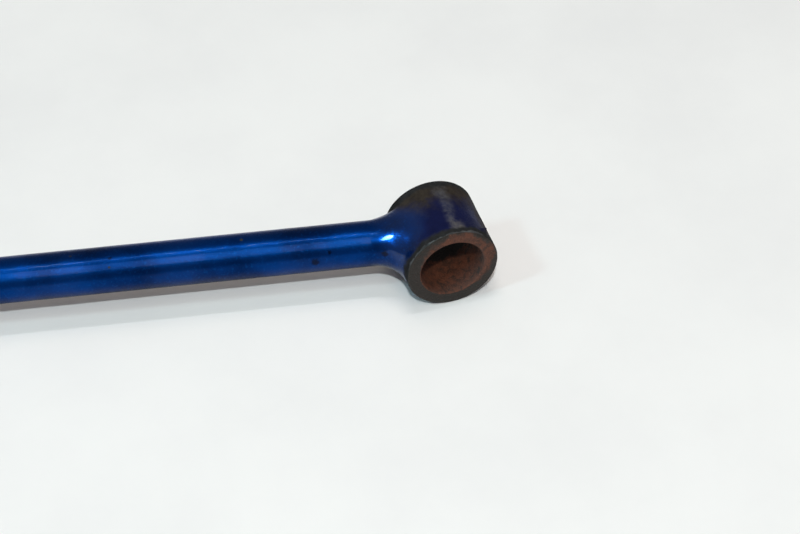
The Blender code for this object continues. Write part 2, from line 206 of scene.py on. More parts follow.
def piece(name, bm, finishes, body, nodes, place=Matrix(), cutters=(), bevel=0.0, sharp=35):
    """A finished piece: placed, carved, bevelled, shaded, riding on a body, in its nodes' place."""
    obj = bpy.data.objects.new(name, to_mesh(name, bm, place))
    bpy.context.scene.collection.objects.link(obj)
    for finish in finishes:
        obj.data.materials.append(finish)
    for cutter_bm, cutter_place in cutters:
        cutter = bpy.data.objects.new("cutter", to_mesh("cutter", cutter_bm, cutter_place))
        bpy.context.scene.collection.objects.link(cutter)
        carve = obj.modifiers.new("carve", "BOOLEAN")
        carve.object = cutter
        evaluated(obj)
        bpy.data.objects.remove(cutter)
    if bevel:
        edge = obj.modifiers.new("edge", "BEVEL")
        edge.width = bevel
        edge.segments = 3
        edge.limit_method = "ANGLE"
        edge.angle_limit = math.radians(40)
        evaluated(obj)
    obj.data.shade_smooth()
    obj.data.set_sharp_from_angle(angle=math.radians(sharp))
    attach(obj, body)
    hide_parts(*nodes)
    return obj


# ---------------------------------------------------------------- material helpers
class Finish:
    """A material's nodes, added one call at a time. Everything is placed by object coordinates."""

    def __init__(self, name):
        self.material = bpy.data.materials.new(name)
        self.material.use_nodes = True
        self.tree = self.material.node_tree
        self.shader = self.tree.nodes["Principled BSDF"]
        self.where = self.node("TexCoord").outputs["Object"]

    def node(self, kind, inputs=(), **settings):
        made = self.tree.nodes.new("ShaderNode" + kind)
        for key, value in settings.items():
            setattr(made, key, value)
        for key, value in dict(inputs).items():
            self.feed(made.inputs[key], value)
        return made

    def feed(self, socket, value):
        if isinstance(value, bpy.types.NodeSocket):
            self.tree.links.new(value, socket)
        elif isinstance(value, tuple) and len(value) == 3 and socket.type == "RGBA":
            socket.default_value = (*value, 1.0)
        else:
            socket.default_value = value

    def set(self, **inputs):
        for key, value in inputs.items():
            self.feed(self.shader.inputs[key.replace("_", " ")], value)

    def math(self, operation, a, b=0.0, c=0.0, clamp=False):
        made = self.node("Math", {0: a, 1: b, 2: c}, operation=operation, use_clamp=clamp)
        return made.outputs[0]

    def noise(self, scale, detail=3.0, roughness=0.5, vector=None, distortion=0.0):
        inputs = {"Vector": vector or self.where, "Scale": scale, "Detail": detail,
                  "Roughness": roughness, "Distortion": distortion}
        return self.node("TexNoise", inputs).outputs["Fac"]

    def spots(self, scale, randomness=1.0, vector=None):
        inputs = {"Vector": vector or self.where, "Scale": scale, "Randomness": randomness}
        return self.node("TexVoronoi", inputs).outputs["Distance"]

    def span(self, value, low, high, out_low=0.0, out_high=1.0):
        """Value between low and high, mapped smoothly on to another range and held at its ends."""
        inputs = {"Value": value, "From Min": low, "From Max": high,
                  "To Min": out_low, "To Max": out_high}
        return self.node("MapRange", inputs, interpolation_type="SMOOTHSTEP").outputs["Result"]

    def mix(self, factor, a, b):
        made = self.node("Mix", {0: factor, 6: a, 7: b}, data_type="RGBA")
        return made.outputs[2]

    def blend(self, factor, a, b):
        """The same for plain numbers."""
        return self.node("Mix", {0: factor, 2: a, 3: b}, data_type="FLOAT").outputs[0]

    def relief(self, height, distance, normal=None, strength=1.0):
        inputs = {"Height": height, "Distance": distance, "Strength": strength}
        if normal:
            inputs["Normal"] = normal
        return self.node("Bump", inputs).outputs["Normal"]

    def from_point(self, point, stretch=(1.0, 1.0, 1.0)):
        """Coordinates counted from a point, with each axis stretched."""
        moved = self.node("VectorMath", {0: self.where, 1: tuple(point)}, operation="SUBTRACT")
        scaled = self.node("VectorMath", {0: moved.outputs[0], 1: stretch}, operation="MULTIPLY")
        return scaled.outputs[0]

    def axes(self, vector):
        parts = self.node("SeparateXYZ", {0: vector})
        return parts.outputs[0], parts.outputs[1], parts.outputs[2]


# ---------------------------------------------------------------- finishes
PAINT_DEEP = (0.0006, 0.0165, 0.0900)
PAINT_LIVELY = (0.0010, 0.0350, 0.1850)
PAINT_THIN = (0.0130, 0.0165, 0.0720)
PAINT_BURNT = (0.004, 0.005, 0.012)
STEEL_DARK = (0.030, 0.030, 0.031)
GRIME = (0.016, 0.012, 0.008)
RUST_DARK = (0.030, 0.013, 0.008)
RUST_MID = (0.098, 0.030, 0.015)
RUST_LIGHT = (0.160, 0.060, 0.033)
PAINT_METALLIC = 0.85
PAINT_ROUGHNESS = 0.30
FLAKE_LEAN = 0.10
MARK_STRENGTH = 0.8


def flake_normal(finish, amount):
    """Metal flakes: each small cell of the base coat leans its own way."""
    cells = finish.node("TexVoronoi", {"Vector": finish.where, "Scale": 2600.0})
    centred = finish.node("VectorMath", {0: cells.outputs["Color"], 1: (0.5, 0.5, 0.5)},
                          operation="SUBTRACT")
    lean = finish.node("VectorMath", {0: centred.outputs[0], "Scale": amount}, operation="SCALE")
    facing = finish.node("NewGeometry").outputs["Normal"]
    leaned = finish.node("VectorMath", {0: facing, 1: lean.outputs[0]}, operation="ADD")
    return finish.node("VectorMath", {0: leaned.outputs[0]}, operation="NORMALIZE").outputs[0]


def orange_peel(finish):
    """The clear coat's slight waviness, in two sizes."""
    waves = finish.math("MULTIPLY_ADD", finish.noise(520.0), 0.35, finish.noise(150.0, 2.0))
    return finish.relief(waves, 0.00006)


def candy_color(finish):
    """The blue's cloudy depth with a fine sparkle and painted shade darkening its underside, and that
    shade's mask alone.
    """
    cloud = finish.noise(38.0, 3.0)
    color = finish.mix(finish.span(cloud, 0.35, 0.65), PAINT_DEEP, PAINT_LIVELY)
    sparkle = finish.span(finish.noise(900.0, 2.0), 0.52, 0.75, 0.0, 0.35)
    color = finish.mix(sparkle, color, (0.002, 0.065, 0.290))
    # painted shade: the blue turns darker and duller towards the bar's underside
    height = finish.axes(finish.where)[2]
    underside_shade = finish.math("MULTIPLY_ADD", finish.noise(75.0, 3.0, 0.6), 0.004, height)
    underside_shade = finish.span(underside_shade, AXIS_Z + 0.003, AXIS_Z - 0.006, 0.0, 0.70)
    return finish.mix(underside_shade, color, (0.0050, 0.0065, 0.0200)), underside_shade


def blemishes(finish):
    """Dark chips and smudges on the left arm.

    Each is given by its distance from the eye's axis back along the arm, its turn round the arm
    in degrees from outboard over the top, its size, and its lift above the bar's skin, which is
    where the weld covers it.
    """
    marks = 0.0
    ragged = finish.math("MULTIPLY_ADD", finish.noise(900.0, 3.0, 0.6), 0.0016, -0.0008)
    for distance, turn, size, lift in ((0.0237, 16, 0.0017, 0.0011), (0.046, 32, 0.0012, 0.0),
                                       (0.052, 9, 0.0022, 0.0), (0.134, 72, 0.0010, 0.0)):
        angle = math.radians(turn)
        outboard = Vector((-math.cos(SPLAY), math.sin(SPLAY), 0))
        skin = outboard * math.cos(angle) + Vector((0, 0, 1)) * math.sin(angle)
        spot = arm_end(-1) - arm_direction(-1) * distance + skin * (BAR_RADIUS + lift)
        away = finish.node("VectorMath", {0: finish.from_point(spot)}, operation="LENGTH")
        off = finish.math("ADD", away.outputs["Value"], ragged)
        marks = finish.math("MAXIMUM", marks, finish.span(off, size, size * 0.4))
    return marks


def candy_paint(name):
    """Blue metallic base coat under a thin clear coat with orange peel, dust and a few chips."""
    finish = Finish(name)
    chips = finish.span(finish.spots(95.0), 0.085, 0.060)
    chips = finish.math("MULTIPLY", chips, finish.span(finish.noise(60.0, 4.0), 0.53, 0.59))
    dust = finish.span(finish.noise(1500.0, 2.0, 0.6), 0.72, 0.78)
    dust = finish.math("MULTIPLY", dust, finish.span(finish.noise(70.0), 0.45, 0.65))
    color, underside_shade = candy_color(finish)
    color = finish.mix(finish.math("MULTIPLY", blemishes(finish), MARK_STRENGTH), color, PAINT_BURNT)
    color = finish.mix(chips, color, STEEL_DARK)
    color = finish.mix(finish.math("MULTIPLY", dust, 0.4), color, (0.10, 0.16, 0.26))
    # the painted shade of the underside takes the gloss off, as the chips and dust do
    bare = finish.math("MAXIMUM", finish.math("MAXIMUM", chips, dust), finish.math("MULTIPLY", underside_shade, 0.7))
    finish.set(Base_Color=color, Metallic=finish.blend(bare, PAINT_METALLIC, 0.1),
               Roughness=finish.blend(bare, PAINT_ROUGHNESS, 0.8), Specular_IOR_Level=0.0,
               Normal=flake_normal(finish, FLAKE_LEAN), Coat_IOR=1.5, Coat_Roughness=0.04,
               Coat_Weight=finish.span(finish.noise(34.0, 4.0, 0.65), 0.42, 0.58, 0.03, 0.11),
               Coat_Normal=orange_peel(finish))
    return finish.material


def eye_paint(name, centre, side):
    """Paint that is full on the weld and thins out over the eye, all placed from the eye's centre.

    There is grime on the eye's inboard end, a scuffed streak along its top, and bare dark
    steel in a band at each end. x runs outboard, from the eye's centre.
    """
    finish = Finish(name)
    half = EYE_LENGTH / 2
    x, y, z = finish.axes(finish.from_point(centre, (float(side), 1.0, 1.0)))
    fine = finish.noise(420.0, 3.0, 0.6)
    ragged = finish.math("MULTIPLY_ADD", finish.noise(130.0, 4.0, 0.65), 0.020, -0.010)
    # full paint around the arm's foot, thin paint beyond
    past_foot = finish.math("MINIMUM", finish.math("SUBTRACT", y, EYE_RADIUS), 0.0)
    offset = finish.node("CombineXYZ", {0: x, 1: past_foot, 2: finish.math("SUBTRACT", z, EYE_DROP)})
    away = finish.node("VectorMath", {0: offset.outputs[0]}, operation="LENGTH").outputs["Value"]
    away = finish.math("MULTIPLY_ADD", ragged, 0.3, away)
    thin = finish.span(away, 0.0125, 0.0225)
    thin_color = finish.mix(finish.span(finish.noise(55.0, 4.0, 0.6), 0.30, 0.70),
                            tuple(0.6 * c for c in PAINT_THIN), PAINT_THIN)
    color, underside_shade = candy_color(finish)
    # the painted underside shade is kept off the eye and the weld close to it
    underside_shade = finish.math("MULTIPLY", underside_shade, finish.span(y, EYE_RADIUS + 0.004, EYE_RADIUS + 0.014))
    color = finish.mix(finish.math("MULTIPLY", blemishes(finish), MARK_STRENGTH), color, PAINT_BURNT)
    color = finish.mix(thin, color, thin_color)
    # grime grows towards the inboard end and breaks up along its edge
    inboard = finish.span(finish.math("ADD", x, ragged), 0.0030, -0.0110)
    outward = finish.span(finish.math("ADD", y, ragged), -0.0120, -0.0175)
    grime = finish.math("MAXIMUM", inboard, finish.math("MULTIPLY", outward, 0.75))
    grime = finish.math("MULTIPLY", grime, finish.span(away, 0.0125, 0.0190))
    grime_color = finish.mix(fine, GRIME, (0.060, 0.047, 0.031))
    color = finish.mix(finish.math("MULTIPLY", grime, 0.92), color, grime_color)
    # the streak runs along the top, a little forward of the crest
    angle = finish.math("ARCTAN2", finish.math("MULTIPLY", y, -1.0), z)
    wander = finish.math("MULTIPLY_ADD", finish.noise(150.0, 4.0, 0.6), 0.30, -0.15)
    off_crest = finish.math("ADD", finish.math("SUBTRACT", angle, 0.17), wander)
    streak = finish.span(finish.math("ABSOLUTE", off_crest), 0.22, 0.02)
    streak = finish.math("MULTIPLY", streak, finish.span(finish.noise(160.0, 4.0, 0.65), 0.30, 0.66))
    streak_color = finish.mix(finish.span(x, 0.006, 0.012), (0.105, 0.103, 0.112), (0.190, 0.170, 0.135))
    color = finish.mix(finish.math("MULTIPLY", streak, 0.65), color, streak_color)
    # the ends are worn to dark steel
    edge = finish.math("MULTIPLY_ADD", ragged, 0.30, finish.math("ABSOLUTE", x))
    worn = finish.span(edge, half - 0.0048, half - 0.0024)
    worn_color = finish.mix(fine, (0.010, 0.010, 0.010), (0.036, 0.035, 0.036))
    color = finish.mix(worn, color, worn_color)
    rub = finish.span(edge, half - 0.0010, half - 0.0005)
    rub = finish.math("MULTIPLY", rub, finish.span(finish.noise(90.0, 3.0), 0.42, 0.60))
    color = finish.mix(finish.math("MULTIPLY", rub, 0.6), color, (0.120, 0.118, 0.120))
    # where there is grime, a scuff, bare steel or the painted shade of the underside there is no gloss
    rough = finish.math("MAXIMUM", finish.math("MAXIMUM", grime, streak), worn)
    dull = finish.math("MAXIMUM", rough, finish.math("MULTIPLY", underside_shade, 0.7))
    scratches = finish.noise(90.0, 5.0, 0.75, finish.from_point(centre, (1.0, 9.0, 9.0)))
    height = finish.math("MULTIPLY", finish.math("MULTIPLY_ADD", fine, 0.5, scratches), thin)
    # the clear coat lies thick in the upper hollow of the weld
    pooled = finish.math("MULTIPLY", finish.span(y, EYE_RADIUS + 0.010, EYE_RADIUS),
                         finish.span(thin, 1.0, 0.4))
    pooled = finish.math("MULTIPLY", pooled, finish.span(z, 0.001, 0.008))
    metallic = finish.blend(thin, PAINT_METALLIC, 0.45)
    roughness = finish.blend(thin, PAINT_ROUGHNESS, 0.40)
    finish.set(Base_Color=color, Metallic=finish.blend(dull, metallic, 0.15),
               Roughness=finish.blend(dull, roughness, 0.62),
               Coat_Weight=finish.blend(dull, finish.blend(pooled, 0.06, 0.80), 0.02),
               Coat_Roughness=0.05, Specular_IOR_Level=0.0, Coat_Normal=orange_peel(finish),
               Normal=finish.relief(height, 0.00010, flake_normal(finish, FLAKE_LEAN)))
    return finish.material


def rusty_steel_and_rim_shadow(name, centre, side, bareness):
    """Steel that was never painted: brown rust in several sizes of spot, over dark grey steel.

    bareness is how much of it still shows as grey steel. The inboard half of the bore is
    painted dark, in place of the shadow of the eye's upper rim.
    """
    finish = Finish(name)
    x, y, z = finish.axes(finish.from_point(centre, (float(side), 1.0, 1.0)))
    large = finish.noise(120.0, 4.0, 0.6)
    middle = finish.noise(330.0, 5.0, 0.65, distortion=0.6)
    small = finish.noise(1400.0, 3.0, 0.6)
    color = finish.mix(finish.span(middle, 0.32, 0.62), RUST_DARK, RUST_MID)
    color = finish.mix(finish.span(small, 0.50, 0.74, 0.0, 0.7), color, RUST_LIGHT)
    across = finish.node("CombineXYZ", {1: y, 2: z}).outputs[0]
    radius = finish.node("VectorMath", {0: across}, operation="LENGTH").outputs["Value"]
    low_side = finish.math("ADD", finish.math("MULTIPLY", y, 14.0), finish.math("MULTIPLY", z, -16.0))
    wall = finish.math("DIVIDE", finish.math("SUBTRACT", radius, EYE_BORE), EYE_RADIUS - EYE_BORE)
    steel = finish.math("MULTIPLY_ADD", wall, 0.55, finish.math("ADD", large, low_side))
    steel = finish.span(finish.math("ADD", steel, bareness), 0.62, 0.82, 0.0, 0.92)
    steel_color = finish.mix(small, (0.009, 0.008, 0.007), (0.029, 0.025, 0.021))
    color = finish.mix(steel, color, steel_color)
    # painted shadow of the eye's upper rim: near black inboard of the eye's middle, and darkening a
    # little towards it from the outboard face
    rim_shadow = finish.math("MULTIPLY_ADD", middle, 0.006, x)
    rim_shadow = finish.span(rim_shadow, 0.0006, -0.0006, finish.span(x, 0.012, 0.0, 0.0, 0.15), 0.97)
    color = finish.mix(rim_shadow, color, (0.010, 0.007, 0.006))
    pits = finish.span(finish.spots(750.0), 0.10, 0.34)
    height = finish.math("ADD", finish.math("MULTIPLY", pits, 0.35), finish.math("ADD", middle, small))
    finish.set(Base_Color=color, Metallic=finish.blend(steel, 0.0, 0.55),
               Roughness=finish.blend(steel, 0.88, 0.50), Normal=finish.relief(height, 0.00022))
    return finish.material


def moulded_rubber(name):
    finish = Finish(name)
    fine = finish.noise(1200.0, 3.0)
    bloom = finish.span(finish.noise(55.0, 4.0, 0.6), 0.40, 0.75)
    color = finish.mix(bloom, (0.013, 0.013, 0.014), (0.040, 0.039, 0.038))
    finish.set(Base_Color=color, Roughness=finish.span(fine, 0.3, 0.7, 0.62, 0.85),
               Normal=finish.relief(fine, 0.00008))
    return finish.material


def coated_strap(name):
    """Black e-coat on pressed steel, dusty in patches and rubbed at its corners."""
    finish = Finish(name)
    fine = finish.noise(700.0, 3.0)
    dust = finish.span(finish.noise(80.0, 5.0, 0.7), 0.48, 0.72, 0.0, 0.4)
    color = finish.mix(dust, (0.016, 0.016, 0.017), (0.090, 0.086, 0.080))
    corner = finish.node("NewGeometry").outputs["Pointiness"]
    rubbed = finish.math("MULTIPLY", finish.span(corner, 0.60, 0.68), finish.span(fine, 0.40, 0.60))
    color = finish.mix(rubbed, color, (0.28, 0.28, 0.28))
    finish.set(Base_Color=color, Metallic=finish.blend(rubbed, 0.2, 0.9),
               Roughness=finish.span(fine, 0.3, 0.7, 0.36, 0.52), Normal=finish.relief(fine, 0.00006))
    return finish.material


def zinc_plate(name, tint, roughness):
    """Plated steel: a fine crystalline grain, cloudy and slightly tinted."""
    finish = Finish(name)
    cloud = finish.noise(160.0, 4.0, 0.6)
    grain = finish.node("TexVoronoi", {"Vector": finish.where, "Scale": 2200.0}).outputs["Distance"]
    dark = tuple(0.55 * c for c in tint)
    color = finish.mix(finish.span(cloud, 0.30, 0.72), dark, tint)
    stain = finish.span(finish.noise(240.0, 4.0, 0.7), 0.62, 0.74, 0.0, 0.55)
    color = finish.mix(stain, color, (0.20, 0.13, 0.07))
    finish.set(Base_Color=color, Metallic=1.0,
               Roughness=finish.span(cloud, 0.3, 0.7, roughness, roughness + 0.16),
               Normal=finish.relief(grain, 0.00004))
    return finish.material


# ---------------------------------------------------------------- the bar
def arm_direction(side):
    return Vector((side * math.sin(SPLAY), -math.cos(SPLAY), 0))


def eye_centre(side):
    return Vector((side * EYE_MIDDLE.x, EYE_MIDDLE.y, EYE_MIDDLE.z))


def arm_end(side):
    """The point of the arm's axis beside the eye's centre."""
    return eye_centre(side) + Vector((-side * EYE_OUTSET, 0, EYE_DROP))


def bar_centre_line(bend_steps=48, arm_steps=24):
    """Centre line from the left arm's end to the right arm's, with a tangent at each point."""
    direction = arm_direction(1)
    turn = math.pi / 2 - SPLAY
    end = arm_end(1) - direction * (EYE_RADIUS - GAP)
    corner_x = end.x + direction.x * (AXIS_Y - end.y) / direction.y
    bend_start = Vector((corner_x - BEND_RADIUS * math.tan(turn / 2), AXIS_Y, AXIS_Z))
    right = [(bend_start, Vector((1, 0, 0)))]
    for k in range(1, bend_steps + 1):
        a = turn * k / bend_steps
        offset = Vector((math.sin(a), math.cos(a) - 1, 0)) * BEND_RADIUS
        right.append((bend_start + offset, Vector((math.cos(a), -math.sin(a), 0))))
    bend_end = right[-1][0]
    right += [(bend_end.lerp(end, k / arm_steps), direction) for k in range(1, arm_steps + 1)]
    left = [(Vector((-p.x, p.y, p.z)), Vector((t.x, -t.y, 0))) for p, t in reversed(right)]
    return left + right


def make_bar(finish, sides=96):
    rings = []
    for point, tangent in bar_centre_line():
        across = Vector((-tangent.y, tangent.x, 0))
        rings.append([point + across * p.x + Vector((0, 0, p.y)) for p in circle(BAR_RADIUS, sides)])
    piece("painted_bar", loft(rings), [finish], "bar_body", ["bar"])


# ---------------------------------------------------------------- eyes and welds
def bezier(a, b, c, d, t):
    s = 1 - t
    return a * s ** 3 + b * (3 * s * s * t) + c * (3 * s * t * t) + d * t ** 3


def weld_line(side, angle, steps, sink):
    """One line of the fillet, from its toe on the bar to its edge on the eye.

    angle runs about the arm, from inboard over the top. The line leaves the bar along the arm
    and reaches the eye along the eye's own skin, so the fillet runs out smoothly at both ends.
    sink is how far its ends lie under the bar's and the eye's skin.
    """
    centre, direction = eye_centre(side), arm_direction(side)
    inboard = Vector((-side * math.cos(SPLAY), -math.sin(SPLAY), 0))
    radial = inboard * math.cos(angle) + Vector((0, 0, 1)) * math.sin(angle)
    first = arm_end(side) - direction * WELD_START + radial * (BAR_RADIUS - sink)
    across = math.copysign(abs(math.cos(angle)) ** WELD_SQUARENESS, math.cos(angle))
    wrap = (WELD_WRAP_UP if math.sin(angle) > 0 else WELD_WRAP_DOWN) * math.sin(angle)
    reach = EYE_RADIUS - sink
    last = centre + Vector((-side * WELD_HALF_WIDTH * across,
                            reach * math.cos(wrap), reach * math.sin(wrap)))
    skin = Vector((-side * math.cos(angle), -math.sin(wrap) * math.sin(angle),
                   math.cos(wrap) * math.sin(angle))).normalized()
    fullness = 0.5 + 0.5 * math.cos(angle - WELD_FULL_SIDE)
    span = (last - first).length
    lead = (WELD_HOLLOW - WELD_FILL_BAR * fullness) * span
    run_out = (WELD_HOLLOW - WELD_FILL_EYE * fullness) * span
    return [bezier(first, first + direction * lead, last - skin * run_out, last, j / steps)
            for j in range(steps + 1)]


def make_weld(side_name, side, finish, count=144, steps=36):
    """A closed shell: its outer face from the toe to the edge, and its inner face back again."""
    rings = []
    for sink, order in ((WELD_SINK, range(steps + 1)), (WELD_SKIN, range(steps, -1, -1))):
        lines = [weld_line(side, 2 * math.pi * k / count, steps, sink) for k in range(count)]
        rings += [[line[j] for line in lines] for j in order]
    weld = piece(side_name + "_weld_fillet", loft(rings, closed=True), [finish], "bar_body",
                 [side_name + "_eye_weld"], sharp=60)
    for vertex in weld.data.vertices:
        vertex.co += vertex.normal * (noise.noise(vertex.co * 210.0) * WELD_SWELL)


def make_eye(side_name, side, paint, face_steel, bore_steel, count=180, rows=44, bore_rows=12):
    """The tube, a profile turned about the row's X axis, with a small burr beside its outboard rim."""
    half, edge = EYE_LENGTH / 2, EYE_EDGE
    outer, bore = EYE_RADIUS, EYE_BORE
    wall = EYE_LENGTH - 2 * edge

    def rounded(radius_centre, height_centre, start, end, steps=5):
        angles = [math.radians(start + (end - start) * k / steps) for k in range(steps + 1)]
        return [(radius_centre + edge * math.cos(a), height_centre + edge * math.sin(a)) for a in angles]

    profile = rounded(outer - edge, half - edge, 90, 0)
    profile += [(outer, half - edge - wall * k / rows) for k in range(1, rows)]
    profile += rounded(outer - edge, edge - half, 0, -90)
    profile += rounded(bore + edge, edge - half, -90, -180)
    profile += [(bore, edge - half + wall * k / bore_rows) for k in range(1, bore_rows)]
    profile += rounded(bore + edge, half - edge, 180, 90)
    bm = loft([circle(radius, count, height) for radius, height in profile], closed=True)
    bm.faces.ensure_lookup_table()
    for face in bm.faces:
        middle = face.calc_center_median()
        radius = math.hypot(middle.x, middle.y)
        if radius < bore + edge * 0.7:
            face.material_index = 2
        elif abs(middle.z) > half - edge * 0.35:
            face.material_index = 1
    turn = Matrix.Rotation(side * math.pi / 2, 4, "Y")
    place = Matrix.Translation(eye_centre(side)) @ turn
    eye = piece(side_name + "_eye_tube", bm, [paint, face_steel, bore_steel], "bar_body",
                [side_name + "_eye"], place)
    centre = eye_centre(side)
    burr = centre + Vector((side * (half - BURR_INSET), -outer * math.cos(BURR_ANGLE),
                            outer * math.sin(BURR_ANGLE)))
    for vertex in eye.data.vertices:
        out = vertex.co - centre
        radial = Vector((0, out.y, out.z)).normalized()
        vertex.co += radial * (noise.noise(vertex.co * 150.0) * EYE_UNEVEN)
        away = (vertex.co - burr).length
        vertex.co += radial * (BURR_HEIGHT * math.exp(-(away / BURR_SPREAD) ** 2))


# ---------------------------------------------------------------- saddle mounts
def make_bushing(side_name, side, finish):
    bore = BAR_RADIUS + GAP
    radius = BUSH_HIGH.y - AXIS_Y
    groove_radius = AXIS_Z - STRAP - GAP
    slit = BUSHING_HALF_SLIT
    half = (BUSH_HIGH.x - BUSH_LOW.x) / 2
    groove = STRAP_WIDTH / 2 + GAP
    slit_angle = math.degrees(math.asin(slit / bore))

    def outline(reach):
        crown = arc(reach, 180, 360, 64)[:-1]
        return [(reach, slit), (reach, FLAT_HEIGHT), (-reach, FLAT_HEIGHT)] + crown + [(reach, -slit)]

    inner = arc(bore, 360 - slit_angle, slit_angle, 72)
    lip, low = outline(radius) + inner, outline(groove_radius) + inner
    stations = [(-half, lip), (-groove - LIP_STEP, lip), (-groove, low),
                (groove, low), (groove + LIP_STEP, lip), (half, lip)]
    place = Matrix.Translation((side * MOUNT_X, AXIS_Y, AXIS_Z))
    piece(side_name + "_d_bushing", loft([along_x(line, x) for x, line in stations]), [finish],
          side_name + "_mount", [side_name + "_bushing"], place, bevel=0.0003)


def strap_line(inset):
    """One face of the strap from the front flange round the crown to the rear flange."""
    inside = AXIS_Z - STRAP
    bend = STRAP_BEND + STRAP - inset
    centre = inside + STRAP + STRAP_BEND, FLAT_HEIGHT - STRAP - STRAP_BEND
    rear = arc(bend, 180, 90, 12, centre)
    front = [(-y, z) for y, z in reversed(rear)]
    crown = arc(inside + inset, 180, 360, 64)
    level = FLAT_HEIGHT - inset
    return [(-FLANGE_REACH, level)] + front + crown + rear + [(FLANGE_REACH, level)]


def make_bracket(side_name, side, finish):
    outline = strap_line(0) + list(reversed(strap_line(STRAP)))
    half = STRAP_WIDTH / 2
    bm = loft([along_x(outline, -half), along_x(outline, half)])
    corners = [
        edge for edge in bm.edges
        if all(abs(abs(v.co.y) - FLANGE_REACH) < GAP for v in edge.verts)
        and abs(edge.verts[0].co.x - edge.verts[1].co.x) < GAP
    ]
    bmesh.ops.bevel(bm, geom=corners, offset=FLANGE_CORNER, segments=12, affect="EDGES", profile=0.5)
    place = Matrix.Translation((side * MOUNT_X, AXIS_Y, AXIS_Z))
    holes = [(cylinder(BOLT_RADIUS + 2 * GAP, -2 * STRAP, 2 * STRAP),
              place @ Matrix.Translation((0, end * BOLT_Y, FLAT_HEIGHT))) for _, end in ENDS]
    piece(side_name + "_saddle_bracket", bm, [finish], side_name + "_mount",
          [side_name + "_bracket"], place, holes, bevel=0.0004)


def threaded(length, count=36, rows_per_turn=10):
    """Rings of a threaded shank from its tip down to the head."""
    rings = []
    rows = round(length / THREAD_PITCH * rows_per_turn)
    for row in range(rows + 1):
        height = length * (1 - row / rows)
        point = min(1.0, (length - height) / THREAD_PITCH)
        ring = []
        for k in range(count):
            angle = 2 * math.pi * k / count
            turn = (height / THREAD_PITCH - k / count) % 1.0
            depth = THREAD_DEPTH * abs(2 * turn - 1) * min(1.0, height / THREAD_PITCH)
            radius = BOLT_RADIUS - depth - THREAD_TIP * (1 - point)
            ring.append(Vector((radius * math.cos(angle), radius * math.sin(angle), height)))
        rings.append(ring)
    return rings


def make_fasteners(side_name, side, finish):
    body = side_name + "_mount"
    bore = BOLT_RADIUS + GAP
    cone = HEX_FLATS / 2 * HEX_CONE
    for end_name, end in ENDS:
        stem = f"{side_name}_{end_name}_"
        spot = Vector((side * MOUNT_X, AXIS_Y + end * BOLT_Y, 0))

        def at(height):
            return Matrix.Translation(spot + Vector((0, 0, height)))

        under_head = WASHER_LOW.z - GAP
        head = under_head - BOLT_LOW.z
        rings = threaded(BOLT_HIGH.z - under_head)
        rings += [hexagon(HEX_FLATS, 36, 0.0), hexagon(HEX_FLATS, 36, -head * 0.5)]
        crowned = [Vector((p.x, p.y, -head + max(0.0, p.xy.length - cone) * HEX_CHAMFER))
                   for p in hexagon(HEX_FLATS, 36, 0.0)]
        rings += [crowned, circle(HEX_FLATS / 2 * 0.95, 36, -head)]
        piece(stem + "hex_bolt", loft(rings), [finish], body, [stem + "bolt"], at(under_head))

        height, sink = NUT_HIGH.z - NUT_LOW.z, NUT_COUNTERSINK
        low = [Vector((p.x, p.y, max(0.0, p.xy.length - cone) * HEX_CHAMFER))
               for p in hexagon(HEX_FLATS, 36, 0.0)]
        high = [Vector((p.x, p.y, height - p.z)) for p in low]
        nut = loft([circle(bore, 36, sink), circle(bore + sink, 36, 0), circle(cone, 36, 0), low,
                    high, circle(cone, 36, height), circle(bore + sink, 36, height),
                    circle(bore, 36, height - sink)], closed=True)
        piece(stem + "hex_nut", nut, [finish], body, [stem + "nut"], at(NUT_LOW.z))

        thick = WASHER_HIGH.z - WASHER_LOW.z
        wide = (WASHER_HIGH.x - WASHER_LOW.x) / 2
        ring = loft([circle(bore, 64, 0), circle(wide, 64, 0), circle(wide, 64, thick),
                     circle(bore, 64, thick)], closed=True)
        piece(stem + "flat_washer", ring, [finish], body, [stem + "washer"],
              at(WASHER_LOW.z), bevel=0.0002)

        thick = LOCK_HIGH.z - LOCK_LOW.z
        wide = (LOCK_HIGH.x - LOCK_LOW.x) / 2
        sections = []
        for k in range(61):
            angle = math.pi / 2 + LOCK_SPLIT + (k / 60) * (2 * math.pi - 2 * LOCK_SPLIT)
            ring = []
            for radius, level in ((bore, 0), (wide, 0), (wide, thick), (bore, thick)):
                turned = angle + LOCK_SLANT * side * (level / thick - 0.5)
                ring.append(Vector((radius * math.cos(turned), radius * math.sin(turned), level)))
            sections.append(ring)
        piece(stem + "spring_washer", loft(sections), [finish], body, [stem + "lock_washer"],
              at(LOCK_LOW.z), bevel=0.0002)


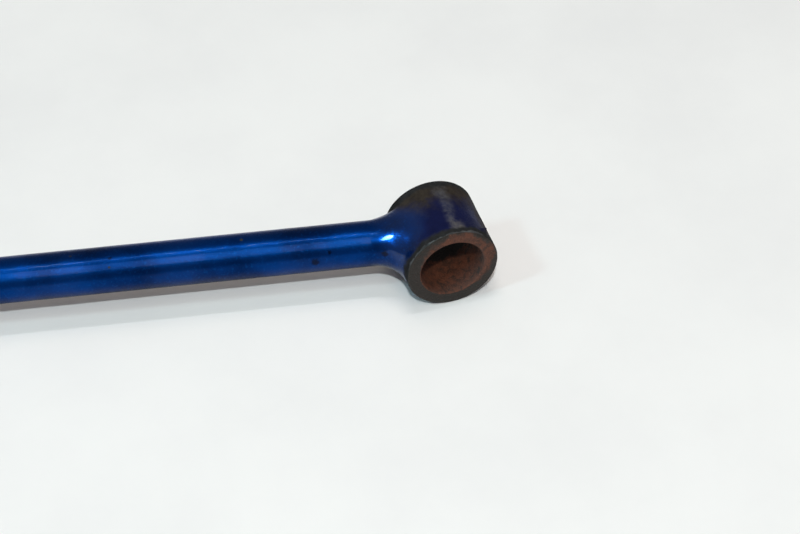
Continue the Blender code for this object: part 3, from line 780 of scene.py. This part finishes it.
# ---------------------------------------------------------------- lock collars
def make_collar(side_name, side, steel, black):
    bore = BAR_RADIUS + GAP
    slot = COLLAR_HALF_SLOT
    half = (COLLAR_HIGH.x - COLLAR_LOW.x) / 2
    outer_start = 90 + math.degrees(math.asin(slot / COLLAR_RADIUS))
    inner_start = 90 + math.degrees(math.asin(slot / bore))
    outline = arc(COLLAR_RADIUS, outer_start, 540 - outer_start, 120)
    outline += arc(bore, 540 - inner_start, inner_start, 90)
    centre = Vector((side * COLLAR_X, AXIS_Y, AXIS_Z))
    place = Matrix.Translation(centre)
    screw_z = (SCREW_HIGH.z + SCREW_LOW.z) / 2
    sideways = Matrix.Rotation(-math.pi / 2, 4, "X")
    hole = Matrix.Translation((centre.x, AXIS_Y, screw_z)) @ sideways
    cutters = [
        (cylinder(SCREW_RADIUS + GAP, -1.5 * COLLAR_RADIUS, 1.5 * COLLAR_RADIUS), hole),
        (cylinder(SCREW_HEAD_RADIUS + GAP, SCREW_SEAT, 1.5 * COLLAR_RADIUS), hole),
    ]
    bm = loft([along_x(outline, -half), along_x(outline, half)])
    piece(side_name + "_lock_collar", bm, [steel], "bar_body", [side_name + "_collar"],
          place, cutters, bevel=0.0004)

    seat = AXIS_Y + SCREW_SEAT + GAP
    tip = SCREW_LOW.y - seat
    shank, head, top, edge = SCREW_RADIUS, SCREW_HEAD_RADIUS, SCREW_HEAD_HEIGHT, SCREW_EDGE
    rings = [circle(shank - edge, 48, tip), circle(shank, 48, tip + edge), circle(shank, 48, 0),
             circle(head - edge / 2, 48, 0), circle(head, 48, edge / 2),
             circle(head, 48, top - edge), circle(head - edge, 48, top),
             hexagon(SOCKET_REACH + 0.0004, 48, top), hexagon(SOCKET_REACH, 48, top - 0.0003),
             hexagon(SOCKET_REACH, 48, top - SOCKET_DEPTH)]
    screw_place = Matrix.Translation((centre.x, seat, screw_z)) @ sideways
    piece(side_name + "_cap_screw", loft(rings), [black], "bar_body", [side_name + "_collar_screw"],
          screw_place)


# ---------------------------------------------------------------- stage, lights, camera
def make_floor():
    bm = bmesh.new()
    bmesh.ops.create_grid(bm, x_segments=1, y_segments=1, size=4.0)
    mesh = to_mesh("floor", bm, Matrix())
    floor = bpy.data.objects.new("floor", mesh)
    bpy.context.scene.collection.objects.link(floor)
    finish = Finish("pale_floor")
    tone = finish.span(finish.noise(9.0, 5.0, 0.6), 0.35, 0.75)
    finish.set(Base_Color=finish.mix(tone, (0.870, 0.845, 0.835), (0.825, 0.800, 0.795)), Roughness=0.55)
    mesh.materials.append(finish.material)


def view_direction(azimuth, elevation):
    """Unit vector along a view that looks down by the elevation; azimuth 0 looks along +Y."""
    return Vector((-math.sin(azimuth) * math.cos(elevation),
                   math.cos(azimuth) * math.cos(elevation), -math.sin(elevation)))


def area_light(name, aim, azimuth, elevation, distance, size, power, color):
    """An area light that shines on aim from where a camera at those angles would stand."""
    forward = view_direction(math.radians(azimuth), math.radians(elevation))
    light = bpy.data.lights.new(name, "AREA")
    light.shape = "RECTANGLE"
    light.size, light.size_y = size
    light.energy = power
    light.color = color
    obj = bpy.data.objects.new(name, light)
    obj.location = aim - forward * distance
    obj.rotation_euler = forward.to_track_quat("-Z", "Y").to_euler()
    bpy.context.scene.collection.objects.link(obj)


CAMERA_AZIMUTH = -106.47        # degrees
CAMERA_ELEVATION = 44.32
CAMERA_ROLL = -1.27
CAMERA_DISTANCE = 0.8013
CAMERA_LENS = 88.8              # millimetres, as is the sensor
CAMERA_SENSOR = 36.0
CAMERA_AIM = eye_centre(-1) + Vector((-0.0089, 0.0202, 0.0))


def make_camera():
    forward = view_direction(math.radians(CAMERA_AZIMUTH), math.radians(CAMERA_ELEVATION))
    data = bpy.data.cameras.new("camera")
    data.lens = CAMERA_LENS
    data.sensor_width = CAMERA_SENSOR
    data.clip_start = 0.01
    camera = bpy.data.objects.new("camera", data)
    camera.location = CAMERA_AIM - forward * CAMERA_DISTANCE
    level = forward.to_track_quat("-Z", "Y")
    camera.rotation_mode = "QUATERNION"
    camera.rotation_quaternion = level @ Quaternion((0, 0, 1), math.radians(CAMERA_ROLL))
    bpy.context.scene.collection.objects.link(camera)
    bpy.context.scene.camera = camera


def make_lights():
    aim = eye_centre(-1)
    beside_arm = -97.0
    # azimuth, elevation, distance, size, power in watts, colour
    area_light("flash", aim, -107.0, 54.1, 2.6, (0.08, 0.08), 34.0, (0.86, 0.97, 1.0))
    area_light("ceiling", aim, beside_arm + 180.0, 80.0, 4.0, (1.6, 1.6), 24.0, (1.0, 0.82, 0.66))
    area_light("panel", aim, beside_arm, 58.0, 4.0, (1.5, 2.3), 41.0, (1.0, 0.88, 0.76))
    area_light("strip", aim, beside_arm + 180.0, 87.0, 4.4, (1.8, 0.04), 26.0, (0.86, 0.94, 1.0))
    area_light("side", aim, -168.0, 48.0, 3.0, (0.32, 0.32), 12.0, (0.55, 0.92, 1.0))
    area_light("glint", aim, -160.0, 50.0, 3.0, (1.1, 0.55), 90.0, (0.42, 0.88, 1.0))
    bpy.data.objects["glint"].visible_diffuse = False
    for name in ("flash", "ceiling"):
        bpy.data.objects[name].visible_glossy = False
    world = bpy.data.worlds.new("studio")
    world.use_nodes = True
    sky = world.node_tree.nodes["Background"]
    sky.inputs["Color"].default_value = (0.90, 0.95, 1.0, 1.0)
    sky.inputs["Strength"].default_value = 0.20
    bpy.context.scene.world = world
    bpy.context.scene.view_settings.view_transform = "Standard"


# ---------------------------------------------------------------- build
make_camera()
make_lights()
make_floor()

bar_finish = candy_paint("candy_blue_paint")
rubber = moulded_rubber("moulded_rubber")
strap_coat = coated_strap("black_strap_coat")
fastener_zinc = zinc_plate("zinc_plate", (0.62, 0.63, 0.62), 0.24)
collar_zinc = zinc_plate("collar_plate", (0.56, 0.56, 0.57), 0.30)
black_oxide = zinc_plate("black_oxide", (0.060, 0.060, 0.064), 0.34)

make_bar(bar_finish)
for side_name, side in SIDES:
    middle = eye_centre(side)
    eye_finish = eye_paint(side_name + "_eye_paint", middle, side)
    make_weld(side_name, side, eye_finish)
    make_eye(side_name, side, eye_finish,
             rusty_steel_and_rim_shadow(side_name + "_face_steel", middle, side, 0.08),
             rusty_steel_and_rim_shadow(side_name + "_bore_rust_and_shadow", middle, side, -0.30))
    make_bushing(side_name, side, rubber)
    make_bracket(side_name, side, strap_coat)
    make_fasteners(side_name, side, fastener_zinc)
    make_collar(side_name, side, collar_zinc, black_oxide)
